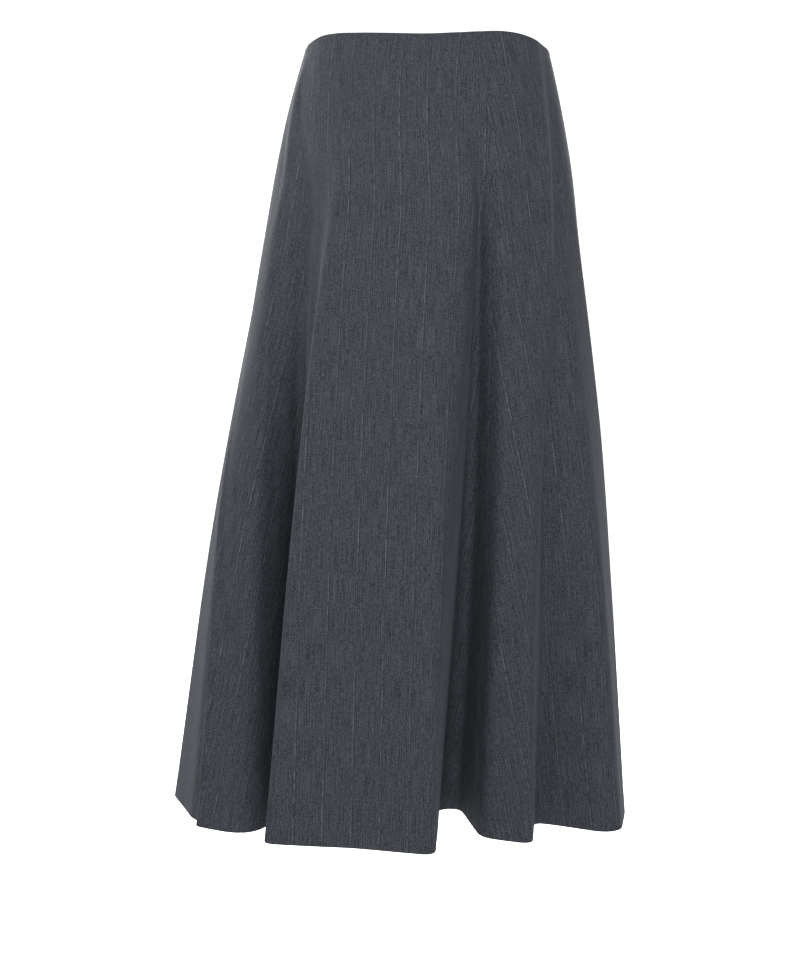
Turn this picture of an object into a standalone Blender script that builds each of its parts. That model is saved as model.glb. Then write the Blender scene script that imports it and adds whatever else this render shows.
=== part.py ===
"""A long flared skirt in its worn form: hollow, open at the waist and at the hem.

Four gores hang from a fitted waist with no band, smooth to the hip and in deep flutes below it.
A concealed zip closes the seam behind the wearer's left side. Metres, +Z up. The front faces -Y,
the wearer's left is +X, and the origin is the middle of the waist opening.
"""
import math

import bmesh
import bpy
import numpy as np
from mathutils import Matrix, Vector

# ---- sizes -------------------------------------------------------------------------------

LENGTH = 0.850          # waist to hem, straight down
WALL = 0.0020           # cloth with its pressed seams
CLEARANCE = 0.0003      # between pieces that touch
HIP_DROP = 0.200        # the waist's bearings ease into the hip's over this drop
FOLD_SOFTNESS = 0.035   # drop over which a fold starts
HEM_SOFTNESS = 0.008    # how far the hem's bends are eased, to each side
HEM_STEP = 0.001        # between the points of the hem's outline
GORE_COLUMNS = 26       # spans across one gore
GORE_ROWS = 20          # spans down one gore
BEND_WEIGHT = 0.030     # how strongly the columns gather where the hem bends
BEND_SAMPLES = 1200     # places across a gore where its hem's bend is measured
SHARP_EDGE = 50.0       # degrees, shaded as an edge from here on

# The smooth body under the folds. Reaches are from the axis, and roundness is the exponent of
# the section's curve, 2 for an ellipse.
SECTIONS = (
    # drop, side reach, front reach, back reach, roundness
    (0.000, 0.139, 0.100, 0.100, 2.25),
    (0.060, 0.153, 0.114, 0.114, 2.25),
    (0.130, 0.167, 0.132, 0.134, 2.20),
    (0.200, 0.178, 0.146, 0.150, 2.15),
    (0.300, 0.195, 0.162, 0.168, 2.10),
    (0.500, 0.225, 0.183, 0.190, 2.10),
    (0.850, 0.262, 0.205, 0.215, 2.10),
)

# The hem in plan is a closed outline whose corners are the folds, each turned with a radius.
# A fold's hem rises above the lowest hem, and the fold starts at a drop below the waist.
FOLDS = (
    # name, x, y, radius, rise, start
    ("front_panel", 0.053, -0.192, 0.160, 0.000, 0.150),
    ("front_panel_left", 0.138, -0.163, 0.012, 0.000, 0.180),
    ("front_valley_right", 0.071, -0.040, 0.016, 0.012, 0.110),
    ("front_valley_left", 0.087, -0.019, 0.016, 0.012, 0.110),
    ("front_lobe_right", 0.149, -0.082, 0.018, 0.003, 0.170),
    ("front_lobe_left", 0.199, -0.061, 0.011, 0.000, 0.200),
    ("left_valley", 0.166, 0.008, 0.009, 0.003, 0.220),
    ("left_flute_front", 0.258, 0.033, 0.026, 0.000, 0.220),
    ("left_flute_tip", 0.222, 0.133, 0.040, 0.000, 0.150),
    ("left_flute_back", 0.163, 0.189, 0.026, 0.000, 0.180),
    ("back_left_valley", 0.114, 0.147, 0.018, 0.006, 0.180),
    ("back_left_flute_1", 0.088, 0.240, 0.026, 0.000, 0.180),
    ("back_left_flute_2", -0.001, 0.246, 0.026, 0.000, 0.180),
    ("back_valley", 0.030, 0.133, 0.018, 0.008, 0.180),
    ("back_flute_1", -0.075, 0.218, 0.026, 0.000, 0.180),
    ("back_flute_2", -0.161, 0.175, 0.026, 0.000, 0.180),
    ("back_right_valley", -0.109, 0.062, 0.018, 0.008, 0.180),
    ("back_right_flute_1", -0.218, 0.130, 0.026, 0.000, 0.180),
    ("back_right_flute_2", -0.255, 0.049, 0.026, 0.000, 0.180),
    ("right_valley", -0.185, -0.015, 0.018, 0.006, 0.180),
    ("right_flute_back", -0.247, -0.048, 0.026, 0.000, 0.180),
    ("right_flute_tip", -0.224, -0.127, 0.030, 0.000, 0.150),
    ("right_flute_crease", -0.117, -0.222, 0.026, 0.000, 0.240),
    ("right_flute_front", -0.059, -0.218, 0.030, 0.000, 0.150),
    ("right_flute_flank", -0.063, -0.146, 0.060, 0.004, 0.120),
    ("right_front_valley", -0.082, -0.045, 0.014, 0.008, 0.080),
    ("front_panel_return", -0.014, -0.152, 0.040, 0.004, 0.080),
    ("front_panel_right", -0.038, -0.237, 0.009, 0.000, 0.105),
)

# Lines down the cloth: where each meets the hem, as a distance round it from centre front
# towards the wearer's left, and its bearing at the waist and at the hip, counted the same way.
LINES = (
    # name, hem distance, waist bearing, hip bearing
    ("centre_front", 0.000, 0.0, 10.0),
    ("front_left_fold", 0.095, 24.0, 39.0),
    ("left_front_seam", 0.290, 56.0, 57.0),
    ("left_centre", 0.567, 90.0, 90.0),
    ("left_back_seam", 0.815, 124.0, 122.0),
    ("centre_back", 1.075, 180.0, 180.0),
    ("right_back_seam", 1.345, 236.0, 237.0),
    ("right_centre", 1.610, 270.0, 280.0),
    ("right_front_seam", 1.964, 304.0, 330.0),
)
GORES = (
    # name, first seam, last seam
    ("gore_front", "right_front_seam", "left_front_seam"),
    ("gore_left", "left_front_seam", "left_back_seam"),
    ("gore_back", "left_back_seam", "right_back_seam"),
    ("gore_right", "right_back_seam", "right_front_seam"),
)

# The waist's top edge isn't level: it lies this far above or below the waist at places round the
# hem, and the cloth under it eases back over the first drop.
WAIST_EASE = 0.090
WAIST_EDGE = (
    # hem distance, rise
    (0.000, 0.0012),
    (0.068, -0.0005),
    (0.145, -0.0012),
    (0.229, 0.0002),
    (0.288, 0.0020),
    (0.354, 0.0040),
    (0.410, 0.0039),
    (0.528, 0.0010),
    (0.600, -0.0022),
    (0.680, -0.0050),
    (0.815, -0.0030),
    (1.075, 0.0015),
    (1.345, -0.0010),
    (1.610, 0.0012),
    (1.790, -0.0010),
    (1.900, -0.0035),
    (1.964, -0.0004),
    (2.035, 0.0040),
    (2.090, 0.0042),
    (2.150, 0.0028),
)

# ---- form --------------------------------------------------------------------------------


def cubic_through(at, knots, values):
    """A curve through the knots: cubic pieces whose slope at a knot follows its neighbours."""
    knots = np.asarray(knots, float)
    values = np.asarray(values, float)
    slopes = np.gradient(values, knots)
    k = np.clip(np.searchsorted(knots, at) - 1, 0, len(knots) - 2)
    span = knots[k + 1] - knots[k]
    t = (at - knots[k]) / span
    rise = t * t * (3 - 2 * t)
    swing = span * t * (1 - t)
    return (values[k] * (1 - rise) + values[k + 1] * rise
            + swing * ((1 - t) * slopes[k] - t * slopes[k + 1]))


def body_point(bearing, drop):
    """The smooth body at a bearing in degrees from the front and a drop: x and y."""
    table = np.array(SECTIONS)
    side, front, back, power = (cubic_through(drop, table[:, 0], table[:, k]) for k in range(1, 5))
    east, south = np.sin(np.radians(bearing)), np.cos(np.radians(bearing))
    depth = np.where(south > 0, front, back)
    reach = (np.abs(east / side) ** power + np.abs(south / depth) ** power) ** (-1 / power)
    return reach * east, -reach * south


def turned_corner(before, corner, after, radius):
    """Points of the arc that rounds one corner, and no longer than half of either side."""
    to_before, to_after = before - corner, after - corner
    sides = np.hypot(*to_before), np.hypot(*to_after)
    to_before, to_after = to_before / sides[0], to_after / sides[1]
    half = 0.5 * math.acos(float(np.clip(to_before @ to_after, -1, 1)))
    reach = min(radius / math.tan(half), 0.5 * min(sides))
    radius = reach * math.tan(half)
    middle = to_before + to_after
    centre = corner + middle / np.hypot(*middle) * radius / math.sin(half)
    first, last = (corner + way * reach - centre for way in (to_before, to_after))
    start = math.atan2(first[1], first[0])
    sweep = (math.atan2(last[1], last[0]) - start + math.pi) % (2 * math.pi) - math.pi
    angles = start + sweep * np.linspace(0, 1, 2 + int(abs(sweep) * radius / HEM_STEP))
    return centre + radius * np.column_stack((np.cos(angles), np.sin(angles)))


def even_steps(outline):
    """A closed outline in even steps of about the hem's step: its points and its length round."""
    closed = np.vstack((outline, outline[:1]))
    distance = np.concatenate(([0], np.cumsum(np.hypot(*np.diff(closed, axis=0).T))))
    even = np.linspace(0, distance[-1], int(distance[-1] / HEM_STEP), endpoint=False)
    return np.column_stack([np.interp(even, distance, closed[:, k]) for k in (0, 1)]), distance[-1]


def hem_plan():
    """The hem's outline from centre front, its length, and where each fold lies round it."""
    corners = np.array([fold[1:3] for fold in FOLDS])
    arcs = [turned_corner(corners[k - 1], corners[k], corners[(k + 1) % len(corners)], FOLDS[k][3])
            for k in range(len(corners))]
    outline, _ = even_steps(np.vstack(arcs))
    reach = round(HEM_SOFTNESS / HEM_STEP)
    weights = np.hanning(2 * reach + 3)[1:-1]
    offsets = range(-reach, reach + 1)
    eased = sum(w * np.roll(outline, k, axis=0) for w, k in zip(weights, offsets))
    outline, length = even_steps(eased / weights.sum())
    front = np.hypot(*(outline - corners[0]).T).argmin()
    outline = np.roll(outline, -front, axis=0)
    nearest = [np.hypot(*(outline - arc[len(arc) // 2]).T).argmin() for arc in arcs]
    return outline, length, np.array(nearest) * length / len(outline)


HEM_OUTLINE, HEM_ROUND, FOLD_PLACES = hem_plan()


def round_the_hem(at, places, values, turn=0.0):
    """A value known at places round the hem, as a closed smooth curve; it grows by turn a lap."""
    places = np.concatenate((places - HEM_ROUND, places, places + HEM_ROUND))
    values = np.asarray(values, float)
    values = np.concatenate((values - turn, values, values + turn))
    return cubic_through(at, places, values)


def cloth(column, drop):
    """The middle of the cloth, at a distance round the hem from centre front and a drop.

    The smooth body's point, moved out or in by the hem's fold. The move starts softly at the
    fold's start and then grows evenly, so that each column runs straight down to the hem.
    """
    column, drop = np.broadcast_arrays(np.asarray(column, float), np.asarray(drop, float))
    places = np.array([line[1] for line in LINES])
    waist = round_the_hem(column % HEM_ROUND, places, [line[2] for line in LINES], 360.0)
    hip = round_the_hem(column % HEM_ROUND, places, [line[3] for line in LINES], 360.0)
    ease = np.clip(drop / HIP_DROP, 0, 1)
    bearing = waist + (hip - waist) * ease * ease * (3 - 2 * ease)
    body = body_point(bearing, drop)
    body_at_hem = body_point(hip, np.full_like(drop, LENGTH))
    start = round_the_hem(column % HEM_ROUND, FOLD_PLACES, [fold[5] for fold in FOLDS])
    rise = round_the_hem(column % HEM_ROUND, FOLD_PLACES, [fold[4] for fold in FOLDS])
    rise = np.maximum(rise, 0)
    grown, none, full = (FOLD_SOFTNESS * np.logaddexp(0, (d - start) / FOLD_SOFTNESS)
                         for d in (drop, 0.0, LENGTH))
    share = (grown - none) / (full - none)
    steps = np.arange(len(HEM_OUTLINE) + 1) * HEM_ROUND / len(HEM_OUTLINE)
    hem = [np.interp(column % HEM_ROUND, steps, np.append(HEM_OUTLINE[:, k], HEM_OUTLINE[0, k]))
           for k in (0, 1)]
    x, y = (body[k] + (hem[k] - body_at_hem[k]) * share for k in (0, 1))
    edge = round_the_hem(column % HEM_ROUND, *np.array(WAIST_EDGE).T)
    level = np.clip(1 - drop / WAIST_EASE, 0, 1)
    return np.stack((x, y, edge * level * level - drop * (1 - rise / LENGTH)), axis=-1)


def cloth_frame(column, drop, probe=0.002):
    """At a point of the cloth: the point, the way round (to the wearer's left), and outward."""
    around = cloth(column + probe, drop) - cloth(column - probe, drop)
    down = cloth(column, drop + probe) - cloth(column, drop - probe)
    outward = np.cross(down, around)
    around /= np.linalg.norm(around, axis=-1, keepdims=True)
    outward /= np.linalg.norm(outward, axis=-1, keepdims=True)
    return cloth(column, drop), around, outward


def row_drops():
    """The drops of the gores' rows of points."""
    return np.linspace(0, LENGTH, GORE_ROWS + 1)


def line_place(name):
    """Where a named line meets the hem."""
    return next(line[1] for line in LINES if line[0] == name)


def gore_columns(first_seam, last_seam):
    """The columns of a gore's points, closer together where the hem bends."""
    first, last = line_place(first_seam), line_place(last_seam)
    if first > last:
        first -= HEM_ROUND
    fine = np.linspace(first, last, BEND_SAMPLES)
    edge = np.diff(cloth(fine, LENGTH)[:, :2], axis=0)
    turn = np.abs(np.diff(np.unwrap(np.arctan2(edge[:, 1], edge[:, 0]))))
    weight = np.hypot(*edge.T)
    weight[1:] += BEND_WEIGHT * turn
    share = np.concatenate(([0], np.cumsum(weight)))
    return np.interp(np.linspace(0, share[-1], GORE_COLUMNS + 1), share, fine)


# ---- meshes ------------------------------------------------------------------------------


def clear_scene():
    for thing in list(bpy.data.objects):
        bpy.data.objects.remove(thing, do_unlink=True)


def material(name, colour, roughness, metallic=0.0):
    """A plain finish with a base colour, roughness and metallic value."""
    finish = bpy.data.materials.new(name)
    finish.use_nodes = True
    shader = finish.node_tree.nodes["Principled BSDF"]
    shader.inputs["Base Color"].default_value = (*colour, 1.0)
    shader.inputs["Roughness"].default_value = roughness
    shader.inputs["Metallic"].default_value = metallic
    return finish


def add_object(name, mesh, finish, smooth=False):
    piece = bpy.data.objects.new(name, mesh)
    bpy.context.scene.collection.objects.link(piece)
    mesh.materials.append(finish)
    if smooth:
        mesh.shade_smooth()
        mesh.set_sharp_from_angle(angle=math.radians(SHARP_EDGE))
    return piece


def wall_mesh(name, outer, inner):
    """A closed wall between two grids of the same size, [row, column], with a rim all round."""
    rows, columns = outer.shape[:2]
    numbers = np.arange(rows * columns).reshape(rows, columns)
    corners = [numbers[:-1, :-1], numbers[1:, :-1], numbers[1:, 1:], numbers[:-1, 1:]]
    sheet = np.stack(corners, axis=-1).reshape(-1, 4)
    rim = np.concatenate((numbers[:, 0], numbers[-1, 1:], numbers[-2::-1, -1], numbers[0, -2:0:-1]))
    after = np.roll(rim, -1)
    offset = rows * columns
    edge = np.column_stack((rim, rim + offset, after + offset, after))
    faces = np.vstack((sheet, sheet[:, ::-1] + offset, edge))
    mesh = bpy.data.meshes.new(name)
    mesh.from_pydata(np.vstack((outer.reshape(-1, 3), inner.reshape(-1, 3))).tolist(), [],
                     faces.tolist())
    mesh.validate()
    return mesh


def gore(name, first_seam, last_seam, finish):
    """One gore, from seam to seam and from waist to hem, clear of its neighbours."""
    columns = gore_columns(first_seam, last_seam)
    point, around, outward = cloth_frame(columns[None, :], row_drops()[:, None])
    point[:, 0] += around[:, 0] * CLEARANCE / 2
    point[:, -1] -= around[:, -1] * CLEARANCE / 2
    mesh = wall_mesh(name, point + outward * WALL / 2, point - outward * WALL / 2)
    return add_object(name, mesh, finish, smooth=True)


# ---- concealed zip -----------------------------------------------------------------------

ZIP_SEAM = "left_back_seam"
TAPE_WIDTH = 0.024
TAPE_THICKNESS = 0.0010
TAPE_TOP = 0.006         # drops below the waist
TAPE_BOTTOM = 0.206
TAPE_SPANS = 3           # spans of either gore that the tape may reach over
TAPE_COLUMNS = 5         # points across the tape
SLIDER_DROP = 0.016
SLIDER_WIDTH = 0.0054
SLIDER_LENGTH = 0.0090
SLIDER_BASE = 0.0010     # its plate's thickness
SLIDER_BEVEL = 0.0003
BRIDGE_WIDTH = 0.0012
BRIDGE_LENGTH = 0.0064
BRIDGE_POST = 0.0010     # length of each foot of the bridge
BRIDGE_ROOM = 0.0020     # height under the bridge
BRIDGE_BAR = 0.0008      # thickness of the bar on top
PULL_THICKNESS = 0.0010
PULL_SLOT = (0.0014, 0.0043)     # half width and length of the eye, below the crossbar
PULL_OUTLINE = (
    # height below the hinge's axis, half width
    (-0.0005, 0.0024),
    (0.0050, 0.0024),
    (0.0072, 0.0014),
    (0.0105, 0.0016),
    (0.0165, 0.0027),
    (0.0195, 0.0029),
    (0.0215, 0.0024),
    (0.0227, 0.0011),
)


def cut_to(grid, drops, top, bottom):
    """A grid whose first and last rows are moved along it to a top and a bottom drop."""
    for end, inner, drop in ((0, 1, top), (-1, -2, bottom)):
        share = (drop - drops[inner]) / (drops[end] - drops[inner])
        grid[end] = grid[inner] + (grid[end] - grid[inner]) * share
    return grid


def zip_tape(finish):
    """The woven tape of the zip, flat on the facets inside the two gores that it joins."""
    before, after = (gore_columns(*gore[1:]) for gore in GORES if ZIP_SEAM in gore)
    columns = np.concatenate((before[-TAPE_SPANS - 1:], after[1:TAPE_SPANS + 1]))
    rows = row_drops()
    drops = rows[:np.searchsorted(rows, TAPE_BOTTOM) + 1]
    point, _, outward = cloth_frame(columns[None, :], drops[:, None])
    across = np.linspace(-0.5, 0.5, TAPE_COLUMNS) * TAPE_WIDTH
    faces = []
    for depth in (WALL / 2 + CLEARANCE, WALL / 2 + CLEARANCE + TAPE_THICKNESS):
        inside = point - outward * depth
        steps = np.linalg.norm(np.diff(inside, axis=1), axis=-1)
        distance = np.cumsum(np.insert(steps, 0, 0, axis=1), axis=1)
        distance -= distance[:, TAPE_SPANS:TAPE_SPANS + 1]
        strip = np.array([[np.interp(across, distance[row], inside[row, :, k]) for k in range(3)]
                          for row in range(len(drops))])
        faces.append(cut_to(strip.transpose(0, 2, 1), drops, TAPE_TOP, TAPE_BOTTOM))
    mesh = wall_mesh("zip_tape", *faces)
    return add_object("zip_tape", mesh, finish, smooth=True)


def seat_on_seam():
    """The slider's frame on the cloth: x back round the waist, y outward, z up along the seam."""
    seam = np.array(line_place(ZIP_SEAM))
    point, around, outward = cloth_frame(seam, np.array(SLIDER_DROP))
    out = Vector(outward)
    side = -Vector(around)
    side = (side - out * side.dot(out)).normalized()
    up = side.cross(out)
    turn = Matrix((side, out, up)).transposed().to_4x4()
    return Matrix.Translation(Vector(point) + out * WALL / 2) @ turn


def slider_plate(finish):
    """The slider's flat plate, clear of the cloth, with its edges broken."""
    form = bmesh.new()
    place = Matrix.Translation((0, CLEARANCE + SLIDER_BASE / 2, 0))
    place = place @ Matrix.Diagonal((SLIDER_WIDTH, SLIDER_BASE, SLIDER_LENGTH, 1.0))
    bmesh.ops.create_cube(form, size=1.0, matrix=place)
    bmesh.ops.bevel(form, geom=form.edges[:], offset=SLIDER_BEVEL, segments=2, affect="EDGES")
    mesh = bpy.data.meshes.new("zip_slider")
    form.to_mesh(mesh)
    form.free()
    return add_object("zip_slider", mesh, finish)


def zip_slider(seat, finish):
    """The slider's plate with a bridge on it, as one body."""
    slider = slider_plate(finish)
    plate_top = CLEARANCE + SLIDER_BASE
    form = bmesh.new()
    sunk = plate_top - SLIDER_BASE / 2
    outer, inner = BRIDGE_LENGTH / 2, BRIDGE_LENGTH / 2 - BRIDGE_POST
    under = plate_top + BRIDGE_ROOM
    profile = ((-outer, sunk), (-outer, under + BRIDGE_BAR), (outer, under + BRIDGE_BAR),
               (outer, sunk), (inner, sunk), (inner, under), (-inner, under), (-inner, sunk))
    face = form.faces.new([form.verts.new((-BRIDGE_WIDTH / 2, y, z)) for z, y in profile])
    grown = bmesh.ops.extrude_face_region(form, geom=[face])["geom"]
    moved = [item for item in grown if isinstance(item, bmesh.types.BMVert)]
    bmesh.ops.translate(form, verts=moved, vec=(BRIDGE_WIDTH, 0, 0))
    bmesh.ops.recalc_face_normals(form, faces=form.faces)
    mesh = bpy.data.meshes.new("bridge")
    form.to_mesh(mesh)
    form.free()
    bridge = add_object("bridge", mesh, finish)
    bridge.hide_render = True
    bridge.display_type = "WIRE"
    union = slider.modifiers.new("bridge", "BOOLEAN")
    union.operation = "UNION"
    union.object = bridge
    for piece in (slider, bridge):
        piece.matrix_world = seat
    return slider


def zip_pull(seat, finish):
    """The pull tab: a flat drop with an eye, whose top bar turns under the bridge."""
    form = bmesh.new()
    left = [(-half, -low) for low, half in PULL_OUTLINE]
    right = [(half, -low) for low, half in reversed(PULL_OUTLINE)]
    half, length = PULL_SLOT
    eye = [(-half, -PULL_THICKNESS / 2), (-half, -length), (half, -length),
           (half, -PULL_THICKNESS / 2)]
    loops = []
    for outline in (left + right, eye):
        verts = [form.verts.new((x, -PULL_THICKNESS / 2, z)) for x, z in outline]
        loops += [form.edges.new((verts[k - 1], verts[k])) for k in range(len(verts))]
    flat = bmesh.ops.triangle_fill(form, use_beauty=True, edges=loops)["geom"]
    faces = [item for item in flat if isinstance(item, bmesh.types.BMFace)]
    grown = bmesh.ops.extrude_face_region(form, geom=faces)["geom"]
    moved = [item for item in grown if isinstance(item, bmesh.types.BMVert)]
    bmesh.ops.translate(form, verts=moved, vec=(0, PULL_THICKNESS, 0))
    bmesh.ops.recalc_face_normals(form, faces=form.faces)
    mesh = bpy.data.meshes.new("zip_pull")
    form.to_mesh(mesh)
    form.free()
    pull = add_object("zip_pull", mesh, finish)
    axis_height = CLEARANCE + SLIDER_BASE + BRIDGE_ROOM / 2
    pull.matrix_world = seat @ Matrix.Translation((0, axis_height, 0))
    return pull


def build_skirt():
    clear_scene()
    suiting = material("suiting", (0.054, 0.060, 0.071), 0.85)
    tape_weave = material("zip_tape", (0.030, 0.033, 0.040), 0.80)
    enamel = material("zip_enamel", (0.035, 0.039, 0.048), 0.35, 0.6)
    for name, first_seam, last_seam in GORES:
        gore(name, first_seam, last_seam, suiting)
    zip_tape(tape_weave)
    seat = seat_on_seam()
    zip_slider(seat, enamel)
    zip_pull(seat, enamel)


build_skirt()
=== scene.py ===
"""A long flared pinstripe skirt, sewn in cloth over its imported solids.

Metres, +Z up. The front faces -Y and the wearer's left is +X, and the origin is the middle of the
waist. A place on the cloth is a column, its distance round the hem from centre front towards the
wearer's left, and a drop below the waist.
"""

import math

import bpy
import numpy as np
from mathutils import Matrix, Vector


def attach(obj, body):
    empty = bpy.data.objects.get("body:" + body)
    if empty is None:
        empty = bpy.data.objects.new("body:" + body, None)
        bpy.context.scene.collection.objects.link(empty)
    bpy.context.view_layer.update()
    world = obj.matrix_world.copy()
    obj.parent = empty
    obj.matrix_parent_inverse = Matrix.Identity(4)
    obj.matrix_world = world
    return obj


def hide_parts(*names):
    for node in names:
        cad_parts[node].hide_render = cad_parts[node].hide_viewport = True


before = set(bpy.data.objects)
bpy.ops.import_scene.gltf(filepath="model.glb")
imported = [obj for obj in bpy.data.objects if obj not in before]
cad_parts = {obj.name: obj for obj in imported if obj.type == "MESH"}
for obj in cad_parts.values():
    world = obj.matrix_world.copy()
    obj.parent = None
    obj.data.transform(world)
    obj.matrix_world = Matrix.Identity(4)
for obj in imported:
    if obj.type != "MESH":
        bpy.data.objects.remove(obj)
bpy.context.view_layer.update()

# ---- sizes -------------------------------------------------------------------------------

LENGTH = 0.850          # waist to hem
HIP_DROP = 0.200        # the waist's bearings ease into the hip's over this drop
FOLD_SOFTNESS = 0.035   # drop over which a flute starts
HEM_SOFTNESS = 0.008    # reach of the moving average that eases the hem's outline
HEM_STEP = 0.001        # between two points of that outline
CLOTH = 0.0006          # the suiting's own thickness
FACE = 0.0009           # its face stands this far out from the smooth form
LAYER_GAP = 0.00015     # between two layers that lie on each other
TURNING = 0.030         # depth of the turning at the hem and at the waist
ALLOWANCE = 0.015       # width of a pressed seam allowance
STRIPE_PITCH = 0.030

SECTIONS = (
    # drop, side reach, front reach, back reach, roundness
    (0.000, 0.139, 0.100, 0.100, 2.25),
    (0.060, 0.153, 0.114, 0.114, 2.25),
    (0.130, 0.167, 0.132, 0.134, 2.20),
    (0.200, 0.178, 0.146, 0.150, 2.15),
    (0.300, 0.195, 0.162, 0.168, 2.10),
    (0.500, 0.225, 0.183, 0.190, 2.10),
    (0.850, 0.262, 0.205, 0.215, 2.10),
)

FOLDS = (
    # x, y, radius, rise, start
    (0.053, -0.192, 0.160, 0.000, 0.150),      # front panel
    (0.138, -0.163, 0.012, 0.000, 0.180),
    (0.071, -0.040, 0.016, 0.012, 0.110),      # valley left of the front
    (0.087, -0.019, 0.016, 0.012, 0.110),
    (0.149, -0.082, 0.018, 0.003, 0.170),      # front lobe
    (0.199, -0.061, 0.011, 0.000, 0.200),
    (0.166, 0.008, 0.009, 0.003, 0.220),       # left valley
    (0.258, 0.033, 0.026, 0.000, 0.220),       # left flute
    (0.222, 0.133, 0.040, 0.000, 0.150),
    (0.163, 0.189, 0.026, 0.000, 0.180),
    (0.114, 0.147, 0.018, 0.006, 0.180),       # back left valley
    (0.088, 0.240, 0.026, 0.000, 0.180),       # back left flute
    (-0.001, 0.246, 0.026, 0.000, 0.180),
    (0.030, 0.133, 0.018, 0.008, 0.180),       # back valley
    (-0.075, 0.218, 0.026, 0.000, 0.180),      # back flute
    (-0.161, 0.175, 0.026, 0.000, 0.180),
    (-0.109, 0.062, 0.018, 0.008, 0.180),      # back right valley
    (-0.218, 0.130, 0.026, 0.000, 0.180),      # back right flute
    (-0.255, 0.049, 0.026, 0.000, 0.180),
    (-0.185, -0.015, 0.018, 0.006, 0.180),     # right valley
    (-0.247, -0.048, 0.026, 0.000, 0.180),     # right flute
    (-0.224, -0.127, 0.030, 0.000, 0.150),
    (-0.117, -0.222, 0.026, 0.000, 0.240),
    (-0.059, -0.218, 0.030, 0.000, 0.150),
    (-0.063, -0.146, 0.060, 0.004, 0.120),
    (-0.082, -0.045, 0.014, 0.008, 0.080),     # valley right of the front
    (-0.014, -0.152, 0.040, 0.004, 0.080),
    (-0.038, -0.237, 0.009, 0.000, 0.105),     # the front panel's right edge
)

LINES = {
    # name: (column, waist bearing, hip bearing)
    "centre_front": (0.000, 0.0, 10.0),
    "front_left_fold": (0.095, 24.0, 39.0),
    "left_front_seam": (0.290, 56.0, 57.0),
    "left_centre": (0.567, 90.0, 90.0),
    "left_back_seam": (0.815, 124.0, 122.0),
    "centre_back": (1.075, 180.0, 180.0),
    "right_back_seam": (1.345, 236.0, 237.0),
    "right_centre": (1.610, 270.0, 280.0),
    "right_front_seam": (1.964, 304.0, 330.0),
}
GORES = (
    # name, first seam, grain line, last seam
    ("gore_front", "right_front_seam", "centre_front", "left_front_seam"),
    ("gore_left", "left_front_seam", "left_centre", "left_back_seam"),
    ("gore_back", "left_back_seam", "centre_back", "right_back_seam"),
    ("gore_right", "right_back_seam", "right_centre", "right_front_seam"),
)

# The waist's top edge isn't level: its rise at columns, eased away over the first drop.
WAIST_EASE = 0.090
WAIST_EDGE = (
    # column, rise
    (0.000, 0.0012),
    (0.068, -0.0005),
    (0.145, -0.0012),
    (0.229, 0.0002),
    (0.288, 0.0020),
    (0.354, 0.0040),
    (0.410, 0.0039),
    (0.528, 0.0010),
    (0.600, -0.0022),
    (0.680, -0.0050),
    (0.815, -0.0030),
    (1.075, 0.0015),
    (1.345, -0.0010),
    (1.610, 0.0012),
    (1.790, -0.0010),
    (1.900, -0.0035),
    (1.964, -0.0004),
    (2.035, 0.0040),
    (2.090, 0.0042),
    (2.150, 0.0028),
)

# Creases and drag lines: a soft ridge, or a hollow where the height is below 0, along a line down
# the cloth that may bow sideways.
CREASES = (
    # column and drop at the top, column and drop at the bottom, bow, height, width
    (0.020, 0.010, 0.050, 0.420, 0.004, 0.0010, 0.016),
    (-0.110, 0.030, -0.150, 0.380, -0.006, -0.0012, 0.018),
    (0.150, 0.020, 0.110, 0.360, 0.010, -0.0013, 0.016),
    (0.215, 0.015, 0.190, 0.300, -0.006, 0.0012, 0.012),
    (0.330, 0.020, 0.300, 0.330, 0.006, 0.0016, 0.014),
    (0.395, 0.050, 0.360, 0.420, 0.004, -0.0014, 0.016),
    (0.560, -0.050, 0.375, 0.700, -0.025, 0.0045, 0.012),     # the front lobe's shoulder
    (0.600, -0.050, 0.415, 0.700, -0.025, -0.0040, 0.014),
    (0.630, 0.050, 0.600, 0.620, 0.000, 0.0030, 0.035),
    (0.610, 0.050, 0.640, 0.600, 0.010, 0.0014, 0.018),
    (0.700, 0.120, 0.720, 0.700, -0.008, -0.0016, 0.018),
    (0.870, 0.060, 0.880, 0.560, 0.008, 0.0013, 0.018),
    (0.960, 0.160, 0.970, 0.780, -0.008, -0.0015, 0.017),
    (1.060, 0.050, 1.090, 0.460, 0.012, 0.0013, 0.020),
    (1.180, 0.110, 1.160, 0.640, -0.010, -0.0016, 0.018),
    (1.260, 0.060, 1.290, 0.700, 0.008, 0.0014, 0.018),
    (1.420, 0.080, 1.440, 0.520, -0.008, -0.0014, 0.018),
    (1.520, 0.120, 1.500, 0.760, 0.010, 0.0015, 0.018),
    (1.640, 0.050, 1.680, 0.600, 0.008, -0.0014, 0.020),
    (1.708, 0.300, 1.728, 1.100, 0.036, -0.0035, 0.010),
    (1.730, 0.300, 1.750, 1.100, 0.036, 0.0048, 0.007),      # the right flute's edge
    (1.830, 0.050, 1.720, 0.500, 0.000, -0.0035, 0.035),
    (1.880, 0.030, 1.850, 0.420, 0.006, -0.0012, 0.016),
    (1.985, 0.000, 1.800, 0.230, 0.004, 0.0030, 0.010),
    (2.010, 0.100, 2.000, 0.620, 0.006, 0.0012, 0.012),
    (2.090, 0.150, 2.075, 0.700, -0.006, 0.0010, 0.014),
)

# ---- smooth form -------------------------------------------------------------------------


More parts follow.
